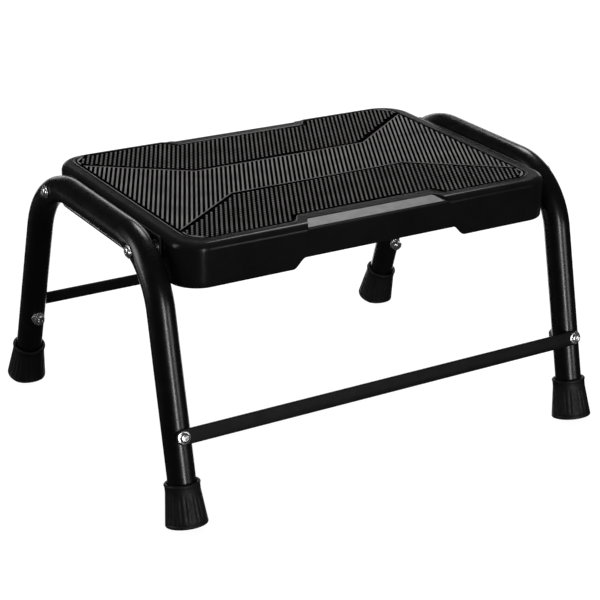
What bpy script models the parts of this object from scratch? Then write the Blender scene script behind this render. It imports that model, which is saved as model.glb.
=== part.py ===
"""One-step stool: two bent steel tube side frames, two flat braces, a moulded platform and its bolts.

The stool stands on z = 0 with its origin in the middle of its footprint, +X to its right, -Y towards
its front and +Z up. The rear legs reach out further than the front ones, so the parts are laid out
from the platform's middle, and the finished stool is moved towards its front by FOOTPRINT_MIDDLE_Y.
All lengths below are in millimetres and are turned into metres by MM.
"""
from math import atan, cos, pi, radians, sin, tan

import bmesh
import bpy
from mathutils import Vector

MM = 0.001
GAP = 0.3                      # clearance between parts that touch
FOOTPRINT_MIDDLE_Y = 4.56      # middle of the footprint, from the platform's middle

# Side frames; values in a dictionary are for the front (-1) and the rear (1)
TUBE_RADIUS = 12.7
TUBE_WALL = 1.2
FRAME_X = 216.3                # centre plane of each side frame
RUN_Z = 239.4                  # centre line of the level top run
FOOT_Y = {-1: 171.9, 1: 181.4}  # leg centre line where it meets the floor
SPLAY_SLOPE = {-1: 0.2444, 1: 0.288}  # run of a leg outwards for each unit of height
BEND_RADIUS = {-1: 68.0, 1: 79.0}
SPLAY = {sy: atan(slope) for sy, slope in SPLAY_SLOPE.items()}

# Feet: the sole is square to the leg, and its inner edge is pressed flat on the floor
FOOT_RISE = 3.2                # height of the sole's centre
FOOT_BASE_RADIUS = 19.2
FOOT_RIM_RADIUS = 16.1
FOOT_HEIGHT = 39.0
FOOT_COLLAR = 8.0
FOOT_SOLE = 6.0                # thickness below the socket
FOOT_EDGE = 1.2

# Braces
BRACE_Z = 82.0
BRACE_HEIGHT = 14.0
BRACE_THICKNESS = 2.0

# Platform
PLATFORM_X = 199.9
PLATFORM_Y = 136.0
PLATFORM_CORNER = {-1: 27.0, 1: 31.0}
PLATFORM_TOP = 246.1
SKIRT_BOTTOM = 205.4
EDGE_RADIUS = 6.5
WALL = 3.0
DECK_UNDERSIDE = 238.9
RIB_THICKNESS = 2.4
RIB_BOTTOM = 230.9
RIB_PITCH_X = 79.0
RIBS_ACROSS = 4
RIB_PITCH_Y = 66.5
RIBS_ALONG = 3
ARCH_HEIGHT = 9.5
ARCH_FOOT_X = 93.5
ARCH_TOP_X = 80.0
ARCH_MIDDLE_X = 3.0
GRIP_TOP_X = 66.5
GRIP_LOW_X = 78.0
GRIP_TOP_Y = {-1: 120.5, 1: 126.7}
GRIP_DROP = 3.0

# Tread mat
MAT_X = 182.8
MAT_Y = 124.7
MAT_MIDDLE_Y = 3.1             # middle of the mat, from the platform's middle
MAT_CORNER = 18.0
MAT_THICKNESS = 3.0
MAT_GAP = 1.4
NOTCH_OUTER_X = 85.0
NOTCH_INNER_X = 72.0
NOTCH_Y = 111.9
GROOVE_WIDTH = 1.6
GROOVE_DEPTH = 1.2
GROOVE_BEND = (94.3, 37.3)
GROOVE_END = (176.0, 97.0)

# End plates between the platform and the side frames
PLATE_THICKNESS = 2.0
PLATE_HALF_LENGTH = 94.5
PLATE_HEIGHT = 21.0
PLATE_CORNER = 4.0

# Bolts, nuts and washers (M6)
BOLT_RADIUS = 3.0
HOLE_RADIUS = BOLT_RADIUS + GAP
HEAD_RADIUS = 6.2
HEAD_HEIGHT = 3.4
SOCKET_RADIUS = 2.4
SOCKET_DEPTH = 1.8
NUT_FLATS = 10.0
NUT_HEIGHT = 5.0
WASHER_RADIUS = 6.5
WASHER_THICKNESS = 1.0
THREAD_END = 1.8               # bolt end that shows past its nut
PLATFORM_BOLT_Z = 232.7

SIDES = {"left": -1, "right": 1}
ENDS = {"front": -1, "rear": 1}
CORNERS = {end + "_" + side: (sx, sy) for side, sx in SIDES.items() for end, sy in ENDS.items()}

COLOURS = {
    "tube_paint": ((0.012, 0.012, 0.013), 0.22, 0.0),
    "brace_paint": ((0.014, 0.014, 0.014), 0.50, 0.0),
    "platform_plastic": ((0.016, 0.016, 0.017), 0.48, 0.0),
    "mat_rubber": ((0.060, 0.058, 0.058), 0.75, 0.0),
    "foot_rubber": ((0.010, 0.010, 0.010), 0.70, 0.0),
    "zinc": ((0.72, 0.73, 0.75), 0.25, 1.0),
}


def clear_scene():
    for thing in list(bpy.data.objects):
        bpy.data.objects.remove(thing, do_unlink=True)


def new_collection(name):
    collection = bpy.data.collections.new(name)
    bpy.context.scene.collection.children.link(collection)
    return collection


def make_material(name):
    colour, roughness, metallic = COLOURS[name]
    material = bpy.data.materials.new(name)
    material.use_nodes = True
    shader = material.node_tree.nodes["Principled BSDF"]
    shader.inputs["Base Color"].default_value = (*colour, 1.0)
    shader.inputs["Roughness"].default_value = roughness
    shader.inputs["Metallic"].default_value = metallic
    return material


clear_scene()
STOOL = new_collection("step_stool")
CUTTERS = new_collection("cutters")
MATERIALS = {name: make_material(name) for name in COLOURS}


# ---------------------------------------------------------------- building blocks

def add_object(name, data, collection):
    thing = bpy.data.objects.new(name, data)
    collection.objects.link(thing)
    return thing


def to_mesh(thing, weld=0.00001):
    """Replace a curve object by a mesh object with the same name and place."""
    evaluated = thing.evaluated_get(bpy.context.evaluated_depsgraph_get())
    mesh = bpy.data.meshes.new_from_object(evaluated)
    shape = bmesh.new()
    shape.from_mesh(mesh)
    bmesh.ops.remove_doubles(shape, verts=shape.verts, dist=weld)
    bmesh.ops.recalc_face_normals(shape, faces=shape.faces)
    shape.to_mesh(mesh)
    shape.free()
    name, matrix, collection = thing.name, thing.matrix_world.copy(), thing.users_collection[0]
    bpy.data.objects.remove(thing, do_unlink=True)
    result = add_object(name, mesh, collection)
    result.matrix_world = matrix
    return result


def flat_piece(name, outlines, thickness, collection=None):
    """A flat plate with its middle plane at local z = 0; later outlines are holes. Points in mm."""
    curve = bpy.data.curves.new(name, "CURVE")
    curve.dimensions = "2D"
    curve.fill_mode = "BOTH"
    curve.extrude = thickness * MM / 2
    for outline in outlines:
        spline = curve.splines.new("POLY")
        spline.points.add(len(outline) - 1)
        for point, (x, y) in zip(spline.points, outline):
            point.co = (x * MM, y * MM, 0.0, 1.0)
        spline.use_cyclic_u = True
    bpy.context.view_layer.update()
    return to_mesh(add_object(name, curve, collection or STOOL))


def turned_piece(name, profile, steps=20, collection=None):
    """A turned piece about local z from (radius, height) points in mm that run down its outer side."""
    mesh = bpy.data.meshes.new(name)
    points = [(radius * MM, 0.0, height * MM) for radius, height in profile]
    mesh.from_pydata(points, [(i, i + 1) for i in range(len(points) - 1)], [])
    piece = add_object(name, mesh, collection or STOOL)
    screw = piece.modifiers.new("turn", "SCREW")
    screw.axis = "Z"
    screw.steps = steps
    screw.render_steps = steps
    screw.use_merge_vertices = True
    screw.merge_threshold = 0.00001
    return piece


def arc(centre, radius, start, end, steps):
    """Points on an arc, angles in degrees, both ends included."""
    angles = [radians(start + (end - start) * i / steps) for i in range(steps + 1)]
    return [(centre[0] + radius * cos(a), centre[1] + radius * sin(a)) for a in angles]


def s_curve(start, stop, steps=5):
    """Points from start to stop, level at both ends like a lazy S."""
    points = []
    for step in range(steps + 1):
        part = step / steps
        ease = (1 - cos(pi * part)) / 2
        points.append((start[0] + (stop[0] - start[0]) * part, start[1] + (stop[1] - start[1]) * ease))
    return points


def circle(radius, steps=20):
    return arc((0.0, 0.0), radius, 0, 360, steps)[:-1]


def polygon(flats, sides=6):
    return arc((0.0, 0.0), flats / 2 / cos(pi / sides), 0, 360, sides)[:-1]


def rounded_rectangle(half_x, half_y, front, rear, steps=6):
    """Outline with one corner radius at the front and another at the rear."""
    points = []
    for quarter, (sx, sy) in enumerate(((1, 1), (-1, 1), (-1, -1), (1, -1))):
        radius = rear if sy > 0 else front
        centre = (sx * (half_x - radius), sy * (half_y - radius))
        points += arc(centre, radius, 90 * quarter, 90 * quarter + 90, steps)
    return points


def spread(count, pitch):
    """Evenly spaced places about zero."""
    return [(i - (count - 1) / 2) * pitch for i in range(count)]


def box_cutter(name, size, centre):
    bpy.ops.mesh.primitive_cube_add(size=1)
    box = bpy.context.object
    box.name = name
    for collection in list(box.users_collection):
        collection.objects.unlink(box)
    CUTTERS.objects.link(box)
    box.scale = [length * MM for length in size]
    box.location = [value * MM for value in centre]
    return box


def place(thing, centre, rotation=(0.0, 0.0, 0.0)):
    thing.location = Vector(centre) * MM
    thing.rotation_euler = rotation
    return thing


def combine(thing, tools, operation="DIFFERENCE"):
    for index, tool in enumerate(tools):
        tool.hide_render = True
        tool.display_type = "WIRE"
        change = thing.modifiers.new(f"{operation.lower()}_{index}", "BOOLEAN")
        change.operation = operation
        change.solver = "EXACT"
        change.object = tool
    return thing


def finish(thing, material, smooth=False):
    thing.data.materials.clear()
    thing.data.materials.append(MATERIALS[material])
    if smooth:
        thing.data.shade_smooth()
        thing.data.set_sharp_from_angle(angle=radians(35))
    return thing


# ---------------------------------------------------------------- where things are

def leg_centre(sx, sy, height):
    return Vector((sx * FRAME_X, sy * (FOOT_Y[sy] - SPLAY_SLOPE[sy] * height), height))


def leg_tilt(sy):
    """Rotation that lays local z along a leg, upwards."""
    return (sy * SPLAY[sy], 0.0, 0.0)


def bolt_tilt(sy):
    """Rotation that lays local z square to a leg, out of the stool."""
    return (-sy * (pi / 2 - SPLAY[sy]), 0.0, 0.0)


def outward(sy):
    return Vector((0.0, sy * cos(SPLAY[sy]), sin(SPLAY[sy])))


def sideways(sx):
    """Rotation that lays local z along +X or -X, out of the stool."""
    return (0.0, sx * pi / 2, 0.0)


def bend(sy):
    """Angle, radius and start of a bend: where the level run ends, measured from the middle."""
    turn = pi / 2 - SPLAY[sy]
    radius = BEND_RADIUS[sy]
    return turn, radius, FOOT_Y[sy] - SPLAY_SLOPE[sy] * RUN_Z - radius * tan(turn / 2)


def bend_place(sy, height):
    """Distance from the middle at which a bend's centre line is at that height."""
    turn, radius, start = bend(sy)
    drop = 1 - (RUN_Z - height) / radius
    return start + radius * (1 - drop ** 2) ** 0.5


PLATFORM_BOLT_Y = {sy: sy * bend_place(sy, PLATFORM_BOLT_Z) for sy in ENDS.values()}


def half_route(sy, bend_steps=10):
    """Centre line of a side frame's front or rear half as (y, z) in mm, foot first."""
    leg_end = FOOT_RISE + (FOOT_SOLE + GAP) * cos(SPLAY[sy])
    turn, radius, start = bend(sy)
    route = [(sy * (FOOT_Y[sy] - SPLAY_SLOPE[sy] * leg_end), leg_end)]
    for step in range(bend_steps, -1, -1):
        angle = turn * step / bend_steps
        route.append((sy * (start + radius * sin(angle)), RUN_Z - radius * (1 - cos(angle))))
    return route


# ---------------------------------------------------------------- the parts

def side_frame(side, sx):
    route = half_route(-1) + half_route(1)[::-1]
    curve = bpy.data.curves.new(side + "_frame", "CURVE")
    curve.dimensions = "3D"
    curve.bevel_depth = TUBE_RADIUS * MM
    curve.bevel_resolution = 8
    spline = curve.splines.new("POLY")
    spline.points.add(len(route) - 1)
    for point, (y, z) in zip(spline.points, route):
        point.co = (0.0, y * MM, z * MM, 1.0)
    bpy.context.view_layer.update()
    frame = to_mesh(add_object(side + "_frame", curve, STOOL))
    frame.location.x = sx * FRAME_X * MM
    wall = frame.modifiers.new("wall", "SOLIDIFY")
    wall.thickness = TUBE_WALL * MM
    wall.offset = -1.0
    drills = []
    for end, sy in ENDS.items():
        length = 4 * TUBE_RADIUS
        drill = turned_piece(f"{side}_{end}_brace_hole", drill_profile(length), 16, CUTTERS)
        drills.append(place(drill, leg_centre(sx, sy, BRACE_Z), bolt_tilt(sy)))
        drill = turned_piece(f"{side}_{end}_platform_hole", drill_profile(length), 16, CUTTERS)
        centre = (sx * FRAME_X, PLATFORM_BOLT_Y[sy], PLATFORM_BOLT_Z)
        drills.append(place(drill, centre, sideways(sx)))
    combine(frame, drills)
    return finish(frame, "tube_paint", smooth=True)


def drill_profile(length):
    return [(0.0, length / 2), (HOLE_RADIUS, length / 2), (HOLE_RADIUS, -length / 2), (0.0, -length / 2)]


def foot(corner, sx, sy):
    """Rubber ferrule on a leg end, pressed flat where it meets the floor."""
    profile = [
        (0.0, FOOT_SOLE),
        (TUBE_RADIUS + GAP, FOOT_SOLE),
        (TUBE_RADIUS + GAP, FOOT_HEIGHT),
        (FOOT_RIM_RADIUS - 0.8, FOOT_HEIGHT),
        (FOOT_RIM_RADIUS, FOOT_HEIGHT - 0.8),
        (FOOT_RIM_RADIUS, FOOT_HEIGHT - FOOT_COLLAR),
        (FOOT_BASE_RADIUS, FOOT_EDGE),
        (FOOT_BASE_RADIUS - FOOT_EDGE, 0.0),
        (0.0, 0.0),
    ]
    piece = turned_piece("foot_" + corner, profile, 28)
    place(piece, leg_centre(sx, sy, FOOT_RISE), leg_tilt(sy))
    floor = box_cutter("floor_" + corner, (60, 60, 40), (sx * FRAME_X, sy * FOOT_Y[sy], -20))
    combine(piece, [floor])
    return finish(piece, "foot_rubber", smooth=True)


def brace(end, sy):
    """Flat strip with round ends against the outer sides of two legs."""
    radius = BRACE_HEIGHT / 2
    outline = arc((FRAME_X, 0), radius, -90, 90, 10) + arc((-FRAME_X, 0), radius, 90, 270, 10)
    holes = [[(x + sx * FRAME_X, y) for x, y in circle(HOLE_RADIUS)] for sx in SIDES.values()]
    strip = flat_piece(end + "_brace", [outline] + holes, BRACE_THICKNESS)
    offset = TUBE_RADIUS + GAP + BRACE_THICKNESS / 2
    place(strip, leg_centre(0, sy, BRACE_Z) + outward(sy) * offset, bolt_tilt(sy))
    return finish(strip, "brace_paint")


def end_plate(side, sx):
    """Upright strip between the platform's end wall and the side frame."""
    outline = rounded_rectangle(PLATE_HEIGHT / 2, PLATE_HALF_LENGTH, PLATE_CORNER, PLATE_CORNER, 4)
    front, rear = PLATFORM_BOLT_Y[-1], PLATFORM_BOLT_Y[1]
    pitch = (rear - front) / 2
    holes = [[(x, y + sy * pitch) for x, y in circle(HOLE_RADIUS)] for sy in ENDS.values()]
    plate = flat_piece(side + "_end_plate", [outline] + holes, PLATE_THICKNESS)
    centre = (sx * (PLATFORM_X + GAP + PLATE_THICKNESS / 2), (front + rear) / 2, PLATFORM_BOLT_Z)
    place(plate, centre, sideways(sx))
    return finish(plate, "brace_paint")


def mat_outline(grow):
    """Outline of the tread mat, grown by a margin: round corners and a notch at the front and rear."""
    half = s_curve((NOTCH_INNER_X - grow, NOTCH_Y + grow), (NOTCH_OUTER_X - grow, MAT_Y + grow))
    corner = MAT_CORNER + grow
    centre = (MAT_X + grow - corner, MAT_Y + grow - corner)
    quarter = half + arc(centre, corner, 90, 0, 6)
    right = quarter + [(x, -y) for x, y in quarter[::-1]]
    return right + [(-x, y) for x, y in right[::-1]]


def tread_mat():
    mat = flat_piece("tread_mat", [mat_outline(0.0)], MAT_THICKNESS)
    place(mat, (0, MAT_MIDDLE_Y, PLATFORM_TOP - MAT_THICKNESS / 2))
    top = PLATFORM_TOP
    cutters = []
    for end, sy in ENDS.items():
        points = [(-GROOVE_END[0], GROOVE_END[1]), (-GROOVE_BEND[0], GROOVE_BEND[1]),
                  GROOVE_BEND, GROOVE_END]
        for index in range(3):
            start = Vector((points[index][0], sy * points[index][1]))
            stop = Vector((points[index + 1][0], sy * points[index + 1][1]))
            run = stop - start
            middle = (start + stop) / 2
            size = (run.length, GROOVE_WIDTH, 2 * GROOVE_DEPTH)
            centre = (middle.x, middle.y + MAT_MIDDLE_Y, top)
            cutter = box_cutter(f"groove_{end}_{index}", size, centre)
            cutter.rotation_euler.z = Vector((1, 0)).angle_signed(run) * -1
            cutters.append(cutter)
    combine(mat, cutters)
    return finish(mat, "mat_rubber")


def platform():
    """Moulded tray, open below: rounded rim, mat recess, skirt arches, hand grips and inner ribs."""
    height = PLATFORM_TOP - SKIRT_BOTTOM
    front, rear = PLATFORM_CORNER[-1], PLATFORM_CORNER[1]
    outline = rounded_rectangle(PLATFORM_X, PLATFORM_Y, front, rear, 8)
    body = flat_piece("platform", [outline], height)
    place(body, (0, 0, SKIRT_BOTTOM + height / 2))
    round_top_edge(body.data, height / 2 * MM)

    depth = DECK_UNDERSIDE - SKIRT_BOTTOM + 2
    inner = rounded_rectangle(PLATFORM_X - WALL, PLATFORM_Y - WALL, front - WALL, rear - WALL, 8)
    cavity = flat_piece("cavity", [inner], depth, CUTTERS)
    place(cavity, (0, 0, DECK_UNDERSIDE - depth / 2))

    recess = flat_piece("mat_recess", [mat_outline(MAT_GAP)], 2 * (MAT_THICKNESS + GAP), CUTTERS)
    place(recess, (0, MAT_MIDDLE_Y, PLATFORM_TOP))
    combine(body, [cavity, recess])

    rib_height = DECK_UNDERSIDE - RIB_BOTTOM + 0.5
    rib_z = RIB_BOTTOM + rib_height / 2
    across = (RIB_THICKNESS, 2 * PLATFORM_Y - WALL, rib_height)
    along = (2 * PLATFORM_X - WALL, RIB_THICKNESS, rib_height)
    ribs = [box_cutter(f"rib_across_{i}", across, (x, 0, rib_z))
            for i, x in enumerate(spread(RIBS_ACROSS, RIB_PITCH_X))]
    ribs += [box_cutter(f"rib_along_{i}", along, (0, y, rib_z))
             for i, y in enumerate(spread(RIBS_ALONG, RIB_PITCH_Y))]
    combine(body, ribs, "UNION")

    cuts = [skirt_arch()] + [hand_grip(end, sy) for end, sy in ENDS.items()]
    for corner, (sx, sy) in CORNERS.items():
        drill = turned_piece("end_hole_" + corner, drill_profile(4 * WALL), 16, CUTTERS)
        cuts.append(place(drill, (sx * PLATFORM_X, PLATFORM_BOLT_Y[sy], PLATFORM_BOLT_Z), sideways(sx)))
    combine(body, cuts)
    return finish(body, "platform_plastic", smooth=True)


def round_top_edge(mesh, top):
    shape = bmesh.new()
    shape.from_mesh(mesh)
    rim = [edge for edge in shape.edges if all(abs(v.co.z - top) < 1e-6 for v in edge.verts)
           and any(abs(face.normal.z) < 0.5 for face in edge.link_faces)]
    bmesh.ops.bevel(shape, geom=rim, offset=EDGE_RADIUS * MM, segments=4, profile=0.5, affect="EDGES")
    shape.to_mesh(mesh)
    shape.free()


def skirt_arch():
    """Cutter for the low arch in the front and rear skirts, with sloped S-shaped ends."""
    right = s_curve((ARCH_FOOT_X, SKIRT_BOTTOM), (ARCH_TOP_X, SKIRT_BOTTOM + ARCH_HEIGHT))
    right.insert(0, (ARCH_FOOT_X, SKIRT_BOTTOM - 3))
    outline = right + [(-x, z) for x, z in right[::-1]]
    arch = flat_piece("skirt_arch", [outline], 2 * PLATFORM_Y + 20, CUTTERS)
    return place(arch, (ARCH_MIDDLE_X, 0, 0), (pi / 2, 0, 0))


def hand_grip(end, sy):
    """Cutter for the sloped facet on the top edge at the front or rear, wider at its lower edge."""
    top_y = GRIP_TOP_Y[sy]
    slope = GRIP_DROP / (PLATFORM_Y - top_y)
    reach = 4.0
    outer_y = PLATFORM_Y + reach
    wedge = [
        (top_y - reach, PLATFORM_TOP + slope * reach),
        (outer_y, PLATFORM_TOP - slope * (outer_y - top_y)),
        (outer_y, PLATFORM_TOP + slope * reach),
    ]
    grip = flat_piece("grip_" + end, [[(sy * y, z) for y, z in wedge]], 3 * GRIP_LOW_X, CUTTERS)
    place(grip, (0, 0, 0), (pi / 2, 0, pi / 2))
    right = [(0.0, top_y - 2 * reach), (GRIP_TOP_X - 2 * reach, top_y - 2 * reach)]
    right += s_curve((GRIP_TOP_X, top_y), (GRIP_LOW_X, PLATFORM_Y)) + [(GRIP_LOW_X, outer_y + reach)]
    outline = [(x, sy * y) for x, y in right] + [(-x, sy * y) for x, y in right[:0:-1]]
    limits = flat_piece("grip_limits_" + end, [outline], 60, CUTTERS)
    place(limits, (0, 0, PLATFORM_TOP))
    return combine(grip, [limits], "INTERSECT")


def bolt(name, grip_length):
    """Button-head bolt; local z = 0 is the underside of its head."""
    top = HEAD_HEIGHT
    profile = [
        (0.0, top - SOCKET_DEPTH),
        (SOCKET_RADIUS, top - SOCKET_DEPTH),
        (SOCKET_RADIUS, top),
        (HEAD_RADIUS * 0.62, top - 0.2),
        (HEAD_RADIUS * 0.88, top * 0.62),
        (HEAD_RADIUS, 0.8),
        (HEAD_RADIUS, 0.0),
        (BOLT_RADIUS, 0.0),
        (BOLT_RADIUS, 0.5 - grip_length),
        (BOLT_RADIUS - 0.5, -grip_length),
        (0.0, -grip_length),
    ]
    return finish(turned_piece(name, profile, 18), "zinc", smooth=True)


def washer(name):
    return finish(flat_piece(name, [circle(WASHER_RADIUS), circle(HOLE_RADIUS)], WASHER_THICKNESS), "zinc")


def nut(name):
    return finish(flat_piece(name, [polygon(NUT_FLATS), circle(HOLE_RADIUS)], NUT_HEIGHT), "zinc")


def brace_fixing(corner, sx, sy):
    """Bolt through a brace and its leg, with a washer and nut on the inner side."""
    centre = leg_centre(sx, sy, BRACE_Z)
    out = outward(sy)
    tilt = bolt_tilt(sy)
    head = TUBE_RADIUS + 2 * GAP + BRACE_THICKNESS
    washer_at = TUBE_RADIUS + GAP + WASHER_THICKNESS / 2
    nut_at = TUBE_RADIUS + 2 * GAP + WASHER_THICKNESS + NUT_HEIGHT / 2
    tip = nut_at + NUT_HEIGHT / 2 + THREAD_END
    place(bolt("brace_bolt_" + corner, head + tip), centre + out * head, tilt)
    place(washer("brace_washer_" + corner), centre - out * washer_at, tilt)
    place(nut("brace_nut_" + corner), centre - out * nut_at, tilt)


def platform_fixing(corner, sx, sy):
    """Bolt through a tube bend, a washer, the end plate and the platform wall, with a nut inside."""
    y = PLATFORM_BOLT_Y[sy]
    head = FRAME_X + TUBE_RADIUS + GAP
    washer_at = FRAME_X - TUBE_RADIUS - GAP - WASHER_THICKNESS / 2
    nut_at = PLATFORM_X - WALL - GAP - NUT_HEIGHT / 2
    tip = nut_at - NUT_HEIGHT / 2 - THREAD_END
    tilt = sideways(sx)
    place(bolt("platform_bolt_" + corner, head - tip), (sx * head, y, PLATFORM_BOLT_Z), tilt)
    place(washer("platform_washer_" + corner), (sx * washer_at, y, PLATFORM_BOLT_Z), tilt)
    place(nut("platform_nut_" + corner), (sx * nut_at, y, PLATFORM_BOLT_Z), tilt)


def build_stool():
    platform()
    tread_mat()
    for side, sx in SIDES.items():
        side_frame(side, sx)
        end_plate(side, sx)
    for end, sy in ENDS.items():
        brace(end, sy)
    for corner, (sx, sy) in CORNERS.items():
        foot(corner, sx, sy)
        brace_fixing(corner, sx, sy)
        platform_fixing(corner, sx, sy)
    for thing in list(STOOL.objects) + list(CUTTERS.objects):
        thing.location.y -= FOOTPRINT_MIDDLE_Y * MM
    CUTTERS.hide_render = True


build_stool()
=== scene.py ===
"""Looks of the one-step stool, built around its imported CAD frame.

Lengths are in millimetres in the CAD's own frame: +X to the stool's right, -Y to its front, +Z up.
Only the studio at the end (camera, lights and floor) is in metres.
Every piece is a mesh in world coordinates, so its object sits at the origin.
"""
from math import asin, atan, atan2, ceil, cos, degrees, hypot, pi, radians, sin, sqrt, tan

import bmesh
import bpy
from mathutils import Matrix, Vector


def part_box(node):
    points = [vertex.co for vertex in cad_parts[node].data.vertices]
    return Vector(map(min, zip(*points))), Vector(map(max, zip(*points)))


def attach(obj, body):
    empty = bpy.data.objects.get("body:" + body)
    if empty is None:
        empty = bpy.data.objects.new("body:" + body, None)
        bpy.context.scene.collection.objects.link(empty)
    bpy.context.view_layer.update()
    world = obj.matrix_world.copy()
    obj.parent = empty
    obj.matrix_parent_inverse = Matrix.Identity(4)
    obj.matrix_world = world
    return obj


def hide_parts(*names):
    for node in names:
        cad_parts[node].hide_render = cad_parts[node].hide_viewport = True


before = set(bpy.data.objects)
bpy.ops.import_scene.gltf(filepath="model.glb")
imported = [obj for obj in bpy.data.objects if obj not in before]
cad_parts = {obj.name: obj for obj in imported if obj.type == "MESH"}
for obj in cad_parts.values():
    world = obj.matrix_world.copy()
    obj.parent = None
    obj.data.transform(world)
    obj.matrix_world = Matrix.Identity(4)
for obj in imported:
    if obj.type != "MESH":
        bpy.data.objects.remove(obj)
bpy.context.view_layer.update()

MM = 0.001
GAP = 0.3                      # clearance between parts that touch, as in the CAD
SIDES = {"left": -1, "right": 1}
ENDS = {"front": -1, "rear": 1}
CORNERS = {end + "_" + side: (sx, sy) for side, sx in SIDES.items() for end, sy in ENDS.items()}


def box_mm(node):
    low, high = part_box(node)
    return low / MM, high / MM


# ---------------------------------------------------------------- sizes
# They come from the frame where it has them. Where front and rear differ, a dictionary holds the value for
# the front (-1) and for the rear (1).

tube_low, tube_high = box_mm("right_frame")
TUBE_RADIUS = (tube_high.x - tube_low.x) / 2
TUBE_WALL = 1.2
FRAME_X = (tube_high.x + tube_low.x) / 2
RUN_Z = tube_high.z - TUBE_RADIUS
SPLAY_SLOPE = {-1: 0.2444, 1: 0.288}  # run of a leg outwards for each unit of height
SPLAY = {sy: atan(slope) for sy, slope in SPLAY_SLOPE.items()}
BEND_RADIUS = {-1: 68.0, 1: 79.0}
SEAT_DEPTH = 0.9               # flat pressed into the tube under a platform bolt's head
SEAT_RADIUS = 7.0
SEAT_FADE = 8.0

BRACE_HEIGHT = 14.0
BRACE_THICKNESS = 2.0
BRACE_OFFSET = TUBE_RADIUS + GAP + BRACE_THICKNESS / 2


def leg_crossing(end, sy):
    """Height and distance from the middle at which a brace crosses its legs' centre lines."""
    low, high = box_mm(end + "_brace")
    middle = (low + high) / 2
    return middle.z - BRACE_OFFSET * sin(SPLAY[sy]), sy * middle.y - BRACE_OFFSET * cos(SPLAY[sy])


BRACE_Z = leg_crossing("rear", 1)[0]
FOOT_Y = {sy: leg_crossing(end, sy)[1] + SPLAY_SLOPE[sy] * BRACE_Z for end, sy in ENDS.items()}

foot_low, foot_high = box_mm("foot_rear_right")
FOOT_BASE_RADIUS = (foot_high.x - foot_low.x) / 2
FOOT_RIM_RADIUS = 16.1
FOOT_HEIGHT = 39.0
FOOT_RISE = 3.2                # height of the sole's centre, because the sole is square to the leg
FOOT_COLLAR = 8.0
FOOT_SOLE = 6.0
FLUTES = 24
FLUTE_DEPTH = 0.55

platform_low, platform_high = box_mm("platform")
PLATFORM_X = platform_high.x
PLATFORM_Y = (platform_high.y - platform_low.y) / 2
PLATFORM_MIDDLE_Y = (platform_high.y + platform_low.y) / 2
PLATFORM_TOP = platform_high.z
SKIRT_BOTTOM = platform_low.z
PLATFORM_CORNER = {-1: 27.0, 1: 31.0}
EDGE_RADIUS = 6.5
WALL = 3.0
DECK_UNDERSIDE = PLATFORM_TOP - 7.2
RIB_THICKNESS = 2.4
RIB_DEPTH = 8.0
RIB_PITCH_X = 79.0
RIBS_ACROSS = 4
RIB_PITCH_Y = 66.5
RIBS_ALONG = 3
ARCH_HEIGHT = 9.5
ARCH_FOOT_X = 93.5
ARCH_TOP_X = 80.0
ARCH_MIDDLE_X = 3.0
GRIP_TOP_X = 66.5
GRIP_LOW_X = 78.0
GRIP_DEPTH = {-1: 15.5, 1: 9.3}  # how far in from the outside the grip's facet begins
GRIP_DROP = 3.0
GRIP_STEP = 0.5
BEAD_WIDTH = 1.0               # small bead along the facet's lower edge
BEAD_HEIGHT = 0.55
BEAD_DROP = 0.9                # fall from the facet to the bead's outer edge
LIP_WIDTH = 2.4                # raised lip round the mat recess
LIP_HEIGHT = 0.5

mat_low, mat_high = box_mm("tread_mat")
MAT_X = mat_high.x
MAT_Y = (mat_high.y - mat_low.y) / 2
MAT_MIDDLE_Y = (mat_high.y + mat_low.y) / 2
MAT_SHIFT = MAT_MIDDLE_Y - PLATFORM_MIDDLE_Y
MAT_THICKNESS = mat_high.z - mat_low.z
MAT_CORNER = 18.0
MAT_GAP = 1.4
NOTCH_OUTER_X = 85.0
NOTCH_INNER_X = 72.0
NOTCH_Y = 111.9
GROOVE_BEND = (94.3, 37.3)
GROOVE_END = (176.0, 97.0)
GROOVE_HALF = {-1: 1.6, 1: 2.4}
BAND_WIDTH = 1.2
MAT_SIDE = 1.0                 # bare margin beside the middle ribs at the mat's left and right edges
PIP_SIDE = 3.0                 # the same beside the pips
RIB_ANGLE = radians(62)
RIB_PITCH = 4.32
RIB_HALF = 1.05
PIP_PITCH = 4.8
PIP_GAP = 2.0
PIP_LEAST = 0.6                # shortest piece of a pip that is kept at a zone's edge
PIP_FULL = 1.3                 # pieces shorter than this have a smaller bevel
TREAD_DEPTH = 1.6
TREAD_BEVEL = 0.35
GROOVE_SHADE_DEPTH = 0.25              # depth below the tread's top past which the grooves are painted black and dull as shade
PATCH_SIDE_Y = 112.0
PATCH_END_X = 169.0

plate_low, plate_high = box_mm("right_end_plate")
PLATE_CORNER = 4.0

bolt_low, bolt_high = box_mm("platform_bolt_rear_right")
PLATFORM_BOLT_Y = {sy: sum(corner.y for corner in box_mm(f"platform_bolt_{end}_right")) / 2
                   for end, sy in ENDS.items()}
PLATFORM_BOLT_Z = (bolt_low.z + bolt_high.z) / 2
HEAD_RADIUS = (bolt_high.y - bolt_low.y) / 2
HEAD_HEIGHT = 3.4
BOLT_RADIUS = 3.0
HOLE_RADIUS = BOLT_RADIUS + GAP
SOCKET_FLATS = 4.0
THREADED_LENGTH = 9.0
THREAD_PITCH = 1.0
THREAD_STEP = 0.125            # height between two rings of the thread's surface
THREAD_END = 1.8
NUT_FLATS = 10.0
NUT_HEIGHT = 5.0
WASHER_RADIUS = 6.5
WASHER_THICKNESS = 1.0


# ---------------------------------------------------------------- shapes as lists of points

def arc(centre, radius, start, end, steps):
    """Points on an arc, angles in degrees, both ends included."""
    angles = [radians(start + (end - start) * i / steps) for i in range(steps + 1)]
    return [(centre[0] + radius * cos(a), centre[1] + radius * sin(a)) for a in angles]


def ease(part):
    """Smooth rise from 0 to 1, level at both ends."""
    part = min(1.0, max(0.0, part))
    return (1 - cos(pi * part)) / 2


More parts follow.
